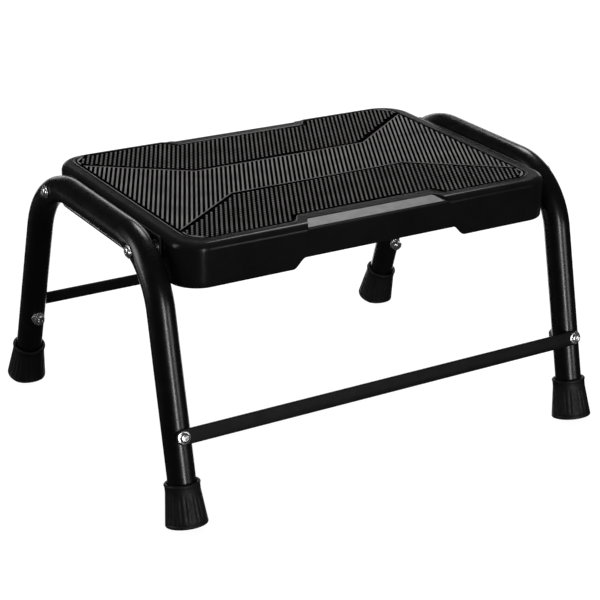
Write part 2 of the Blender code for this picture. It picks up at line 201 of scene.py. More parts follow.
def s_curve(start, stop, steps=10):
    """Points from start to stop, level at both ends like a lazy S."""
    points = []
    for step in range(steps + 1):
        part = step / steps
        across = start[0] + (stop[0] - start[0]) * part
        points.append((across, start[1] + (stop[1] - start[1]) * ease(part)))
    return points


def rounded_rectangle(half_x, half_y, radius, steps=8):
    points = []
    for quarter, (sx, sy) in enumerate(((1, 1), (-1, 1), (-1, -1), (1, -1))):
        centre = (sx * (half_x - radius), sy * (half_y - radius))
        points += arc(centre, radius, 90 * quarter, 90 * quarter + 90, steps)
    return points


def mirrored(right):
    """A whole outline from its right half, which runs from the rear middle to the front middle."""
    return right + [(-x, y) for x, y in right[::-1]]


def mat_outline(grow):
    """Outline of the tread mat, grown by a margin: round corners and a notch at the front and rear."""
    quarter = s_curve((NOTCH_INNER_X - grow, NOTCH_Y + grow), (NOTCH_OUTER_X - grow, MAT_Y + grow))
    corner = MAT_CORNER + grow
    centre = (MAT_X + grow - corner, MAT_Y + grow - corner)
    quarter += arc(centre, corner, 90, 0, 10)
    return mirrored(quarter + [(x, -y) for x, y in quarter[::-1]])


def inset(outline, distance):
    """The outline moved inwards by a distance, each corner along its mitre."""
    area = sum(a[0] * b[1] - b[0] * a[1] for a, b in zip(outline, outline[1:] + outline[:1]))
    turn = 1 if area > 0 else -1
    moved = []
    for before, here, after in zip(outline[-1:] + outline[:-1], outline, outline[1:] + outline[:1]):
        into = Vector(here) - Vector(before)
        out = Vector(after) - Vector(here)
        into.normalize()
        out.normalize()
        normal = Vector((-into.y - out.y, into.x + out.x)) * turn
        normal.normalize()
        lean = normal.dot(Vector((-into.y, into.x)) * turn)
        moved.append(tuple(Vector(here) + normal * (distance / max(lean, 0.3))))
    return moved


def at_height(outline, height):
    return [(x, y, height) for x, y in outline]


def turned_ring(radius, height, steps):
    """A ring about local z; the radius may be a function of the angle."""
    ring = []
    for step in range(steps):
        angle = 2 * pi * step / steps
        reach = radius(angle) if callable(radius) else radius
        ring.append((reach * cos(angle), reach * sin(angle), height))
    return ring


def hexagon(flats):
    """Radius of a hexagon with that distance across its flats, as a function of the angle."""
    return lambda angle: flats / 2 / cos((angle + pi / 6) % (pi / 3) - pi / 6)


# ---------------------------------------------------------------- meshes and pieces

def new_mesh(name, points, faces):
    """A closed mesh object from points in mm, welded and with its faces pointing out."""
    shape = bmesh.new()
    corners = [shape.verts.new(Vector(point) * MM) for point in points]
    for face in faces:
        shape.faces.new([corners[i] for i in face])
    bmesh.ops.remove_doubles(shape, verts=shape.verts, dist=0.000002)
    bmesh.ops.dissolve_degenerate(shape, edges=shape.edges, dist=0.000001)
    bmesh.ops.recalc_face_normals(shape, faces=shape.faces)
    mesh = bpy.data.meshes.new(name)
    shape.to_mesh(mesh)
    shape.free()
    piece = bpy.data.objects.new(name, mesh)
    bpy.context.scene.collection.objects.link(piece)
    return piece


def loft_faces(count, rings, loop=False, first=0):
    """Faces of a skin over rings of points, with caps unless the rings close on themselves."""
    faces = []
    for ring in range(rings if loop else rings - 1):
        low = first + ring * count
        high = first + (ring + 1) % rings * count
        for i in range(count):
            after = (i + 1) % count
            faces.append((low + i, low + after, high + after, high + i))
    if not loop:
        faces.append(tuple(range(first + count - 1, first - 1, -1)))
        faces.append(tuple(range(first + (rings - 1) * count, first + rings * count)))
    return faces


def loft(name, rings, loop=False):
    points = [point for ring in rings for point in ring]
    return new_mesh(name, points, loft_faces(len(rings[0]), len(rings), loop))


def lofts(name, bodies):
    """One mesh of several closed lofts."""
    points = []
    faces = []
    for rings in bodies:
        faces += loft_faces(len(rings[0]), len(rings), first=len(points))
        points += [point for ring in rings for point in ring]
    return new_mesh(name, points, faces)


def move(piece, centre, rotation=(0.0, 0.0, 0.0)):
    """Move the mesh itself, so that the object stays at the origin."""
    turn = Matrix.Identity(4)
    for angle, axis in zip(rotation, "XYZ"):
        turn = Matrix.Rotation(angle, 4, axis) @ turn
    piece.data.transform(Matrix.Translation(Vector(centre) * MM) @ turn)
    return piece


def drill(piece, places, radius=HOLE_RADIUS, length=60.0):
    """Cut round holes; each place is a centre and a rotation that lays local z along the hole."""
    rings = [turned_ring(radius, height, 32) for height in (-length / 2, length / 2)]
    cutters = []
    for centre, rotation in places:
        cutters.append(move(loft("drill", rings), centre, rotation))
        cut = piece.modifiers.new("hole", "BOOLEAN")
        cut.operation = "DIFFERENCE"
        cut.solver = "EXACT"
        cut.object = cutters[-1]
    bpy.context.view_layer.update()
    evaluated = piece.evaluated_get(bpy.context.evaluated_depsgraph_get())
    mesh = bpy.data.meshes.new_from_object(evaluated)
    piece.modifiers.clear()
    piece.data = mesh
    for cutter in cutters:
        bpy.data.objects.remove(cutter, do_unlink=True)
    return piece


def dress(piece, material, nodes, sharp=38):
    """Give a finished piece its material and shading, and hang it on the frame."""
    piece.data.materials.clear()
    piece.data.materials.append(material)
    piece.data.shade_smooth()
    piece.data.set_sharp_from_angle(angle=radians(sharp))
    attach(piece, "root")
    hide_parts(*nodes)
    return piece


# ---------------------------------------------------------------- materials

class Look:
    """A Principled material whose colour, roughness and bump come from procedural textures."""

    def __init__(self, name, roughness, metallic=0.0, specular=0.5):
        self.material = bpy.data.materials.new(name)
        self.material.use_nodes = True
        self.nodes = self.material.node_tree.nodes
        self.links = self.material.node_tree.links
        self.shader = self.nodes["Principled BSDF"]
        self.shader.inputs["Roughness"].default_value = roughness
        self.shader.inputs["Metallic"].default_value = metallic
        self.shader.inputs["Specular IOR Level"].default_value = specular
        self.place = self.nodes.new("ShaderNodeTexCoord").outputs["Object"]
        self.last_bump = None

    def noise(self, size, detail=3.0):
        """Cloudy pattern with features about size mm across."""
        texture = self.nodes.new("ShaderNodeTexNoise")
        texture.inputs["Scale"].default_value = 1 / (size * MM)
        texture.inputs["Detail"].default_value = detail
        self.links.new(self.place, texture.inputs["Vector"])
        return texture.outputs["Fac"]

    def spread(self, pattern, low, high, start=0.3, stop=0.7):
        """Map the pattern's start..stop to low..high."""
        node = self.nodes.new("ShaderNodeMapRange")
        node.inputs["From Min"].default_value = start
        node.inputs["From Max"].default_value = stop
        node.inputs["To Min"].default_value = low
        node.inputs["To Max"].default_value = high
        self.links.new(pattern, node.inputs["Value"])
        return node.outputs["Result"]

    def colour(self, pattern, dark, light):
        """Let the pattern blend between two colours."""
        ramp = self.nodes.new("ShaderNodeValToRGB")
        for element, position, shade in zip(ramp.color_ramp.elements, (0.3, 0.7), (dark, light)):
            element.position = position
            element.color = (*shade, 1.0)
        self.links.new(pattern, ramp.inputs["Fac"])
        self.links.new(ramp.outputs["Color"], self.shader.inputs["Base Color"])
        return self

    def darken_below(self, height, fade, dark):
        """Blend to a dark, dull colour below a height, over a fade; lengths in mm."""
        split = self.nodes.new("ShaderNodeSeparateXYZ")
        self.links.new(self.place, split.inputs["Vector"])
        share = self.spread(split.outputs["Z"], 0.0, 1.0, (height - fade) * MM, height * MM)
        shine = self.shader.inputs["Specular IOR Level"]
        self.links.new(self.spread(share, 0.0, shine.default_value, 0.0, 1.0), shine)
        socket = self.shader.inputs["Base Color"]
        mix = self.nodes.new("ShaderNodeMix")
        mix.data_type = "RGBA"
        low_colour, high_colour = [entry for entry in mix.inputs if entry.type == "RGBA"]
        low_colour.default_value = (*dark, 1.0)
        self.links.new(share, mix.inputs["Factor"])
        self.links.new(socket.links[0].from_socket, high_colour)
        self.links.new(next(entry for entry in mix.outputs if entry.type == "RGBA"), socket)
        return self

    def roughness(self, pattern, low, high):
        """Let the pattern vary the gloss."""
        self.links.new(self.spread(pattern, low, high), self.shader.inputs["Roughness"])
        return self

    def bump(self, pattern, height):
        """Add relief of about height mm; later calls lie on the earlier ones."""
        node = self.nodes.new("ShaderNodeBump")
        node.inputs["Distance"].default_value = height * MM
        node.inputs["Strength"].default_value = 1.0
        self.links.new(pattern, node.inputs["Height"])
        if self.last_bump:
            self.links.new(self.last_bump, node.inputs["Normal"])
        self.last_bump = node.outputs["Normal"]
        self.links.new(self.last_bump, self.shader.inputs["Normal"])
        return self


def tube_paint():
    """Gloss black powder coat: slight orange peel and faint cloudiness in the gloss."""
    look = Look("tube_paint", 0.28)
    look.colour(look.noise(30), (0.0022, 0.0022, 0.0023), (0.0036, 0.0035, 0.0034))
    look.roughness(look.noise(12, 4), 0.24, 0.32)
    return look.bump(look.noise(1.6, 2), 0.010).bump(look.noise(9, 2), 0.02).material


def brace_paint():
    """Satin black coat on flat bar, with a fine sanded tooth."""
    look = Look("brace_paint", 0.42, specular=0.12)
    look.colour(look.noise(18, 5), (0.0060, 0.0056, 0.0058), (0.0110, 0.0105, 0.0105))
    look.roughness(look.noise(5, 5), 0.34, 0.50)
    return look.bump(look.noise(0.8, 3), 0.015).material


def platform_plastic():
    """Moulded black plastic with a fine spark-eroded grain."""
    look = Look("platform_plastic", 0.23, specular=0.14)
    look.colour(look.noise(40, 4), (0.0065, 0.0062, 0.0063), (0.0105, 0.0100, 0.0101))
    look.roughness(look.noise(7, 5), 0.20, 0.27)
    return look.bump(look.noise(0.7, 4), 0.02).bump(look.noise(14, 2), 0.015).material


def mat_rubber():
    """Rubber tread with grey tops; below a set depth the grooves are painted black and dull as shade."""
    look = Look("mat_rubber", 0.62, specular=0.05)
    look.colour(look.noise(22, 6), (0.110, 0.107, 0.107), (0.185, 0.180, 0.180))
    # painted shade: below this depth the grooves turn black and lose their gloss
    look.darken_below(PLATFORM_TOP - GROOVE_SHADE_DEPTH, GROOVE_SHADE_DEPTH / 2, (0.0015, 0.0015, 0.0015))
    look.roughness(look.noise(3, 5), 0.54, 0.70)
    return look.bump(look.noise(0.6, 4), 0.03).material


def foot_rubber():
    """Black rubber ferrule with a dull, slightly mottled skin."""
    look = Look("foot_rubber", 0.55, specular=0.3)
    look.colour(look.noise(8, 5), (0.0040, 0.0040, 0.0040), (0.0080, 0.0078, 0.0076))
    look.roughness(look.noise(3, 4), 0.46, 0.64)
    return look.bump(look.noise(0.9, 4), 0.03).material


def zinc():
    """Bright zinc plate with faint tumbling marks."""
    look = Look("zinc", 0.28, metallic=1.0)
    look.colour(look.noise(2.5, 5), (0.80, 0.81, 0.82), (0.95, 0.95, 0.95))
    look.roughness(look.noise(1.2, 4), 0.20, 0.36)
    return look.bump(look.noise(0.5, 3), 0.01).material


# ---------------------------------------------------------------- side frames

def leg_centre(sx, sy, height):
    return Vector((sx * FRAME_X, sy * (FOOT_Y[sy] - SPLAY_SLOPE[sy] * height), height))


def leg_tilt(sy):
    """Rotation that lays local z along a leg, upwards."""
    return (sy * SPLAY[sy], 0.0, 0.0)


def outward(sy):
    return Vector((0.0, sy * cos(SPLAY[sy]), sin(SPLAY[sy])))


def bolt_tilt(sy):
    """Rotation that lays local z square to a leg, out of the stool."""
    return (-sy * (pi / 2 - SPLAY[sy]), 0.0, 0.0)


def sideways(sx):
    """Rotation that lays local z along +X or -X, out of the stool."""
    return (0.0, sx * pi / 2, 0.0)


def half_stations(sy, run_steps=10, bend_steps=44, leg_steps=24):
    """Places along the tube's centre line from the middle of its run to a foot: (y, z, slope angle)."""
    turn = pi / 2 - SPLAY[sy]
    radius = BEND_RADIUS[sy]
    start = FOOT_Y[sy] - SPLAY_SLOPE[sy] * RUN_Z - radius * tan(turn / 2)
    half = [(start * i / run_steps, RUN_Z, 0.0) for i in range(run_steps)]
    for i in range(bend_steps + 1):
        angle = turn * i / bend_steps
        half.append((start + radius * sin(angle), RUN_Z - radius * (1 - cos(angle)), angle))
    bend_y, bend_z, angle = half[-1]
    leg_end = FOOT_RISE + (FOOT_SOLE + GAP) * cos(SPLAY[sy])
    for i in range(1, leg_steps + 1):
        z = bend_z + (leg_end - bend_z) * i / leg_steps
        half.append((bend_y + SPLAY_SLOPE[sy] * (bend_z - z), z, angle))
    return [(sy * y, z, sy * angle) for y, z, angle in half]


def tube_ring(sx, station, radius, steps=64):
    """Points round the tube; a flat is pressed into its outer side where a platform bolt sits."""
    y, z, angle = station
    ring = []
    for step in range(steps):
        turn = 2 * pi * step / steps
        out = radius * sin(turn)
        point_y = y + out * sin(angle)
        point_z = z + out * cos(angle)
        bolt_y = PLATFORM_BOLT_Y[1 if y > 0 else -1]
        away = hypot(point_y - bolt_y, point_z - PLATFORM_BOLT_Z)
        pressed = SEAT_DEPTH * (1 - ease((away - SEAT_RADIUS) / SEAT_FADE))
        reach = min(radius * cos(turn), radius - pressed)
        ring.append((sx * (FRAME_X + reach), point_y, point_z))
    return ring


def side_frame(side, sx, material):
    stations = half_stations(-1)[:0:-1] + half_stations(1)
    rings = [tube_ring(sx, station, TUBE_RADIUS) for station in stations]
    rings += [tube_ring(sx, station, TUBE_RADIUS - TUBE_WALL) for station in stations[::-1]]
    tube = loft(side + "_bent_tube", rings, loop=True)
    places = []
    for sy in ENDS.values():
        places.append((leg_centre(sx, sy, BRACE_Z), bolt_tilt(sy)))
        places.append(((sx * FRAME_X, PLATFORM_BOLT_Y[sy], PLATFORM_BOLT_Z), sideways(sx)))
    drill(tube, places)
    return dress(tube, material, [side + "_frame"])


def foot_profile():
    """(radius, height, flute depth) from the sole's centre up the outside and down into the socket."""
    cone_top = FOOT_HEIGHT - FOOT_COLLAR
    collar = FOOT_RIM_RADIUS - 0.3
    base = FOOT_BASE_RADIUS
    edge = 1.2                 # height and width of the sole's rounded edge
    nick = 0.35                # depth of the groove round the foot, just above the sole

    def cone(height):
        return base + (collar - base) * (height - edge) / (cone_top - edge)

    profile = [(0.05, 0.0, 0), (5.0, 0.0, 0), (5.4, 0.8, 0), (8.0, 0.8, 0), (8.4, 0.0, 0)]
    profile += [(11.0, 0.0, 0), (11.4, 0.8, 0), (14.0, 0.8, 0), (14.4, 0.0, 0)]
    profile += [(base - edge, 0.0, 0), (base - 0.35, 0.35, 0), (base, edge, 0), (cone(3.2), 3.2, 0)]
    profile += [(cone(3.6) - nick, 3.6, 0), (cone(4.1) - nick, 4.1, 0), (cone(4.5), 4.5, 0)]
    for step in range(1, 12):
        height = 4.5 + (cone_top - 4.5) * step / 12
        fade = min(1.0, step / 2, (12 - step) / 3)
        profile.append((cone(height), height, FLUTE_DEPTH * fade))
    profile += [(collar, cone_top, 0), (collar, FOOT_HEIGHT - 3.2, 0)]
    for out, down in ((0, 2.6), (0.25, 1.6), (0.1, 0.8), (-0.5, 0.2), (-1.2, 0), (-2.2, 0.2)):
        profile.append((FOOT_RIM_RADIUS + out, FOOT_HEIGHT - down, 0))
    bore = TUBE_RADIUS + GAP
    return profile + [(bore + 0.3, FOOT_HEIGHT - 0.8, 0), (bore, FOOT_HEIGHT - 2, 0),
                      (bore, FOOT_SOLE, 0), (0.05, FOOT_SOLE, 0)]


def foot(corner, sx, sy, material):
    """Fluted rubber ferrule, pressed flat where its inner edge meets the floor."""
    rings = []
    for radius, height, depth in foot_profile():
        def flute(angle, radius=radius, depth=depth):
            return radius - depth * (0.5 - 0.5 * cos(FLUTES * angle)) ** 1.5
        rings.append(turned_ring(flute, height, FLUTES * 8))
    piece = move(loft("ferrule_" + corner, rings), leg_centre(sx, sy, FOOT_RISE), leg_tilt(sy))
    for vertex in piece.data.vertices:
        vertex.co.z = max(vertex.co.z, 0.0)
    return dress(piece, material, ["foot_" + corner], 45)


# ---------------------------------------------------------------- flat bars

def flat_bar(name, outline, thickness, edge=0.4):
    """Plate with rounded edges and its middle plane at local z = 0."""
    half = thickness / 2
    levels = [(edge, -half), (edge * 0.3, -half + edge * 0.3), (0.0, -half + edge)]
    levels += [(step, -height) for step, height in levels[::-1]]
    return loft(name, [at_height(inset(outline, step), height) for step, height in levels])


def brace(end, sy, material):
    radius = BRACE_HEIGHT / 2
    outline = arc((FRAME_X, 0), radius, -90, 90, 20) + arc((-FRAME_X, 0), radius, 90, 270, 20)
    bar = flat_bar(end + "_brace_bar", outline, BRACE_THICKNESS)
    centre = leg_centre(0, sy, BRACE_Z) + outward(sy) * BRACE_OFFSET
    move(bar, centre, bolt_tilt(sy))
    drill(bar, [(centre + Vector((sx * FRAME_X, 0, 0)), bolt_tilt(sy)) for sx in SIDES.values()])
    return dress(bar, material, [end + "_brace"])


def end_strip(side, sx, material):
    """Upright steel strip between the platform's end wall and the side frame."""
    size = plate_high - plate_low
    middle = (plate_low + plate_high) / 2
    outline = rounded_rectangle(size.z / 2, size.y / 2, PLATE_CORNER)
    strip = flat_bar(side + "_end_strip", outline, size.x)
    tilt = sideways(sx)
    move(strip, (sx * middle.x, middle.y, middle.z), tilt)
    drill(strip, [((sx * middle.x, y, PLATFORM_BOLT_Z), tilt) for y in PLATFORM_BOLT_Y.values()])
    return dress(strip, material, [side + "_end_plate"])


# ---------------------------------------------------------------- fasteners

def screw_thread(radius, height):
    """Radius of a thread's surface at a height, as a function of the angle."""
    def reach(angle):
        turn = (height / THREAD_PITCH - angle / (2 * pi)) % 1.0
        return radius - 0.55 * THREAD_PITCH * abs(2 * turn - 1)
    return reach


def bolt_rings(length, steps=48):
    """Flanged button-head bolt with a hex socket; local z = 0 is the underside of its flange."""
    top = HEAD_HEIGHT
    dome = HEAD_RADIUS * 0.74
    dome_foot = 1.15
    socket = hexagon(SOCKET_FLATS)
    thread_start = -length + THREADED_LENGTH
    levels = int((length - 0.8 + thread_start) / THREAD_STEP)
    profile = [(0.03, top - 1.9), (lambda a: socket(a) * 0.93, top - 1.7), (socket, top - 1.45)]
    profile += [(socket, top - 0.3), (SOCKET_FLATS / 2 * 1.18 + 0.15, top - 0.02)]
    for angle in map(radians, (20, 35, 50, 65, 78, 88)):
        profile.append((dome * sin(angle) ** 0.8, dome_foot + (top - dome_foot) * cos(angle) ** 0.7))
    profile += [(dome + 0.02, 1.0), (HEAD_RADIUS - 0.35, 0.85), (HEAD_RADIUS - 0.08, 0.7)]
    profile += [(HEAD_RADIUS, 0.5), (HEAD_RADIUS, 0.2), (HEAD_RADIUS - 0.15, 0.0)]
    profile += [(BOLT_RADIUS, 0.0), (BOLT_RADIUS, -1.0), (BOLT_RADIUS, thread_start + 0.4)]
    for level in range(levels):
        height = thread_start - level * THREAD_STEP
        profile.append((screw_thread(BOLT_RADIUS, height), height))
    profile += [(BOLT_RADIUS - 0.6, -length + 0.5), (BOLT_RADIUS - 0.9, -length)]
    return [turned_ring(radius, height, steps) for radius, height in profile]


def bolt(name, length, centre, tilt, material):
    piece = move(loft(name + "_screw", bolt_rings(length)), centre, tilt)
    return dress(piece, material, [name], 32)


def washer(name, centre, tilt, material):
    half = WASHER_THICKNESS / 2
    profile = [(HOLE_RADIUS, -half), (WASHER_RADIUS - 0.25, -half), (WASHER_RADIUS, -half + 0.25),
               (WASHER_RADIUS, half - 0.25), (WASHER_RADIUS - 0.25, half), (HOLE_RADIUS, half)]
    rings = [turned_ring(radius, height, 48) for radius, height in profile]
    piece = move(loft(name + "_disc", rings, loop=True), centre, tilt)
    return dress(piece, material, [name])


def nut(name, centre, tilt, material):
    """Hexagon nut with both faces chamfered and a chamfered bore."""
    flats = hexagon(NUT_FLATS)
    half = NUT_HEIGHT / 2
    rings = []
    for height in (-half, -half + 0.25, -half + 0.5, -half + 0.8, -half + 1.1, 0.0,
                   half - 1.1, half - 0.8, half - 0.5, half - 0.25, half):
        cone = NUT_FLATS / 2 * 0.98 + (half - abs(height)) / tan(radians(30))
        rings.append(turned_ring(lambda a, cone=cone: min(flats(a), cone), height, 72))
    bore = BOLT_RADIUS + 0.1
    rings += [turned_ring(radius, height, 72) for radius, height in (
        (bore + 0.6, half), (bore, half - 0.6), (bore, -half + 0.6), (bore + 0.6, -half))]
    piece = move(loft(name + "_hex", rings, loop=True), centre, tilt)
    return dress(piece, material, [name], 25)


def brace_fixing(corner, sx, sy, material):
    """Bolt through a brace and its leg, with a washer and nut on the inner side."""
    centre = leg_centre(sx, sy, BRACE_Z)
    out = outward(sy)
    tilt = bolt_tilt(sy)
    head = TUBE_RADIUS + 2 * GAP + BRACE_THICKNESS
    washer_at = TUBE_RADIUS + GAP + WASHER_THICKNESS / 2
    nut_at = TUBE_RADIUS + 2 * GAP + WASHER_THICKNESS + NUT_HEIGHT / 2
    tip = nut_at + NUT_HEIGHT / 2 + THREAD_END
    bolt("brace_bolt_" + corner, head + tip, centre + out * head, tilt, material)
    washer("brace_washer_" + corner, centre - out * washer_at, tilt, material)
    nut("brace_nut_" + corner, centre - out * nut_at, tilt, material)


def platform_fixing(corner, sx, sy, material):
    """Bolt through a tube bend, a washer, the end strip and the platform wall, with a nut inside."""
    y = PLATFORM_BOLT_Y[sy]
    head = FRAME_X + TUBE_RADIUS - SEAT_DEPTH + GAP
    tip = bolt_low.x
    washer_at = FRAME_X - TUBE_RADIUS - GAP - WASHER_THICKNESS / 2
    nut_at = PLATFORM_X - WALL - GAP - NUT_HEIGHT / 2
    tilt = sideways(sx)
    places = [(sx * x, y, PLATFORM_BOLT_Z) for x in (head, washer_at, nut_at)]
    bolt("platform_bolt_" + corner, head - tip, places[0], tilt, material)
    washer("platform_washer_" + corner, places[1], tilt, material)
    nut("platform_nut_" + corner, places[2], tilt, material)


# ---------------------------------------------------------------- platform

def rim_quarter(sy):
    """Quarter of the rim from its front or rear middle to its right middle, about the platform's middle.

    Each is (outer point, point on the mat recess, grip's depth or None off the front and rear sides).
    """
    rim_corner = PLATFORM_CORNER[sy]
    corner = MAT_CORNER + MAT_GAP
    recess_x = MAT_X + MAT_GAP - corner
    recess_y = MAT_Y + sy * MAT_SHIFT + MAT_GAP - corner
    outer_x = PLATFORM_X - rim_corner
    outer_y = PLATFORM_Y - rim_corner
    stations = []
    plain = ARCH_FOOT_X + ARCH_MIDDLE_X + 2    # beyond it the rim and the skirt no longer change
    steps = [i * GRIP_TOP_X / 12 for i in range(12)]
    steps += [GRIP_TOP_X + i * (plain - GRIP_TOP_X) / 56 for i in range(57)]
    steps += [plain + i * (outer_x - plain) / 12 for i in range(1, 12)]
    for x in steps:
        part = (x + MAT_GAP - NOTCH_INNER_X) / (NOTCH_OUTER_X - NOTCH_INNER_X)
        notch_y = sy * MAT_SHIFT + NOTCH_Y + MAT_GAP + (MAT_Y - NOTCH_Y) * ease(part)
        recess = x if x <= plain else plain + (x - plain) * (recess_x - plain) / (outer_x - plain)
        stations.append(((x, PLATFORM_Y), (recess, notch_y), GRIP_DEPTH[sy]))
    outer = arc((outer_x, outer_y), rim_corner, 90, 0, 24)
    inner = arc((recess_x, recess_y), corner, 90, 0, 24)
    stations += [(a, b, None) for a, b in zip(outer, inner)]
    for i in range(1, 13):
        part = 1 - i / 12
        stations.append(((PLATFORM_X, outer_y * part), (MAT_X + MAT_GAP, recess_y * part), None))
    return [((a[0], sy * a[1]), (b[0], sy * b[1]), grip) for a, b, grip in stations]


def base_profile(rim_width, stop, steps=16):
    """(distance in from the outside, height from the platform's top) along the rim and its round edge.

    It runs from the lip outwards until it is stop away from the outside, in equal lengths.
    """
    flat = max(rim_width - LIP_WIDTH - max(EDGE_RADIUS, stop), 0.0)
    radius = min(EDGE_RADIUS, rim_width - LIP_WIDTH)
    end_angle = asin(max(radius - stop, 0.0) / radius)
    total = flat + radius * end_angle
    points = []
    for step in range(steps + 1):
        along = total * step / steps
        if along <= flat:
            points.append((rim_width - LIP_WIDTH - along, -LIP_HEIGHT))
        else:
            angle = (along - flat) / radius
            drop = radius * (1 - cos(angle))
            points.append((radius * (1 - sin(angle)), -LIP_HEIGHT - drop * EDGE_RADIUS / radius))
    return points


def grip_width(x, depth):
    """Depth of the grip's facet at a distance along the front, from its full depth to nothing."""
    part = (abs(x) - GRIP_TOP_X) / (GRIP_LOW_X - GRIP_TOP_X)
    return depth * (1 - ease(part))


def facet_height(distance, depth):
    """Height of the grip's sloped facet and of the bead along its lower edge."""
    slope = (GRIP_DROP - GRIP_STEP) / (depth - BEAD_WIDTH)
    height = -LIP_HEIGHT - GRIP_STEP - slope * (depth - distance)
    if distance < BEAD_WIDTH:
        low = -LIP_HEIGHT - GRIP_STEP - slope * (depth - BEAD_WIDTH)
        part = distance / BEAD_WIDTH
        height = low + BEAD_HEIGHT * sin(pi * part) - BEAD_DROP * (1 - part) ** 2
    return height


def station_profile(outer, recess, grip):
    """(distance in from the outside, height from the platform's top) from the recess floor over the rim."""
    rim_width = hypot(outer[0] - recess[0], outer[1] - recess[1])
    stop = grip_width(outer[0], grip) if grip else 0.0
    profile = [(rim_width, -MAT_THICKNESS - GAP), (rim_width, -0.9), (rim_width - 0.15, -0.5)]
    profile += [(rim_width - 0.45, -0.29), (rim_width - 1.45, -0.03), (rim_width - 1.65, 0.0)]
    profile += [(rim_width - 1.9, -0.08)]
    base = base_profile(rim_width, stop)
    profile += base
    edge = base[-1][1]
    for part in (1.0, 0.75, 0.5, 0.25, 0.0):
        near = min(BEAD_WIDTH, stop)
        distance = near + (stop - near) * part
        if part == 1.0:
            distance = max(stop - 0.25, 0.0)
        height = min(edge, facet_height(distance, grip)) if stop > 0.02 else edge - (1 - part)
        profile.append((distance, height))
    for part in (0.8, 0.6, 0.4, 0.2, 0.0):
        distance = min(BEAD_WIDTH, stop) * part
        below = -LIP_HEIGHT - EDGE_RADIUS - 1.5 + part * 0.4
        height = min(edge, facet_height(distance, grip)) if stop > 0.02 else below
        profile.append((distance, height))
    return profile


def arch_rise(x):
    """How far the skirt's lower edge rises at a place along the front or rear."""
    part = (abs(x - ARCH_MIDDLE_X) - ARCH_TOP_X) / (ARCH_FOOT_X - ARCH_TOP_X)
    return ARCH_HEIGHT * (1 - ease(part))


def platform_ring(outer, recess, grip):
    """Outline of the moulding's wall at one station: over the rim, down the skirt and up to the deck."""
    inward = Vector((recess[0] - outer[0], recess[1] - outer[1]))
    inward.normalize()
    rim = [(distance, PLATFORM_TOP + height) for distance, height in station_profile(outer, recess, grip)]
    bottom = SKIRT_BOTTOM + (arch_rise(outer[0]) if grip else 0.0)
    top = rim[-1][1]
    skirt = [(0.0, top + (bottom + 1.2 - top) * part) for part in (0.08, 0.25, 0.45, 0.65, 0.85, 1.0)]
    skirt += [(0.12, bottom + 0.6), (0.45, bottom + 0.15), (1.0, bottom), (WALL - 0.8, bottom)]
    skirt += [(WALL - 0.25, bottom + 0.2), (WALL, bottom + 0.7)]
    skirt += [(WALL, (bottom + DECK_UNDERSIDE) / 2), (WALL, DECK_UNDERSIDE - 2.0)]
    skirt += [(WALL + 0.6, DECK_UNDERSIDE - 0.6), (WALL + 2.0, DECK_UNDERSIDE)]
    return [(*(Vector(outer) + inward * distance), height) for distance, height in rim + skirt]


def rib_body(length, thickness, along_x, middle):
    """Rings of one rib under the deck, thinner towards its lower edge."""
    rings = []
    for narrow, height in ((0.0, DECK_UNDERSIDE + 0.6), (0.05, DECK_UNDERSIDE - 0.3),
                           (0.35, DECK_UNDERSIDE - RIB_DEPTH + 0.4), (0.6, DECK_UNDERSIDE - RIB_DEPTH)):
        half_l = length / 2
        half_t = thickness / 2 - narrow
        corners = [(-half_l, -half_t), (half_l, -half_t), (half_l, half_t), (-half_l, half_t)]
        ring = []
        for a, b in corners:
            x, y = (a, b + middle) if along_x else (b + middle, a)
            ring.append((x, y, height))
        rings.append(ring)
    return rings


def spread_evenly(count, pitch):
    return [(i - (count - 1) / 2) * pitch for i in range(count)]


def platform(material):
    """Moulded tray: rounded rim with a lip, grips, arched skirt and a ribbed underside."""
    half = rim_quarter(1) + rim_quarter(-1)[-2::-1]
    whole = half + [((-a[0], a[1]), (-b[0], b[1]), grip) for a, b, grip in half[-2:0:-1]]
    rings = [platform_ring(*station) for station in whole]
    count = len(rings[0])
    points = [point for ring in rings for point in ring]
    faces = []
    for index in range(len(rings)):
        here = index * count
        after = (index + 1) % len(rings) * count
        for i in range(count - 1):
            faces.append((here + i, here + i + 1, after + i + 1, after + i))
    faces.append(tuple(index * count for index in range(len(rings))))
    faces.append(tuple(index * count + count - 1 for index in range(len(rings))))
    body = new_mesh("platform_moulding", points, faces)
    long_x = 2 * (PLATFORM_X - WALL) + 1
    long_y = 2 * (PLATFORM_Y - WALL) + 1
    ribs = [rib_body(long_y, RIB_THICKNESS, False, x) for x in spread_evenly(RIBS_ACROSS, RIB_PITCH_X)]
    ribs += [rib_body(long_x, RIB_THICKNESS, True, y) for y in spread_evenly(RIBS_ALONG, RIB_PITCH_Y)]
    places = [((sx * PLATFORM_X, PLATFORM_BOLT_Y[sy] - PLATFORM_MIDDLE_Y, PLATFORM_BOLT_Z), sideways(sx))
              for sx, sy in CORNERS.values()]
    drill(body, places, length=12)
    join_meshes(body, lofts("rib_grid", ribs))
    move(body, (0, PLATFORM_MIDDLE_Y, 0))
    return dress(body, material, ["platform"], 32)


def join_meshes(piece, other):
    """Add another object's mesh to the piece's, and remove that object."""
    shape = bmesh.new()
    shape.from_mesh(piece.data)
    shape.from_mesh(other.data)
    shape.to_mesh(piece.data)
    shape.free()
    bpy.data.objects.remove(other, do_unlink=True)


# ---------------------------------------------------------------- tread mat

def offset_path(points, distance):
    """An open path moved sideways to its left, each bend along its mitre."""
    moved = []
    for index, here in enumerate(points):
        sides = []
        for a, b in ((index - 1, index), (index, index + 1)):
            if 0 <= a and b < len(points):
                run = Vector(points[b]) - Vector(points[a])
                run.normalize()
                sides.append(Vector((-run.y, run.x)))
        normal = sum(sides, Vector((0, 0)))
        normal.normalize()
        moved.append(tuple(Vector(here) + normal * (distance / normal.dot(sides[0]))))
    return moved


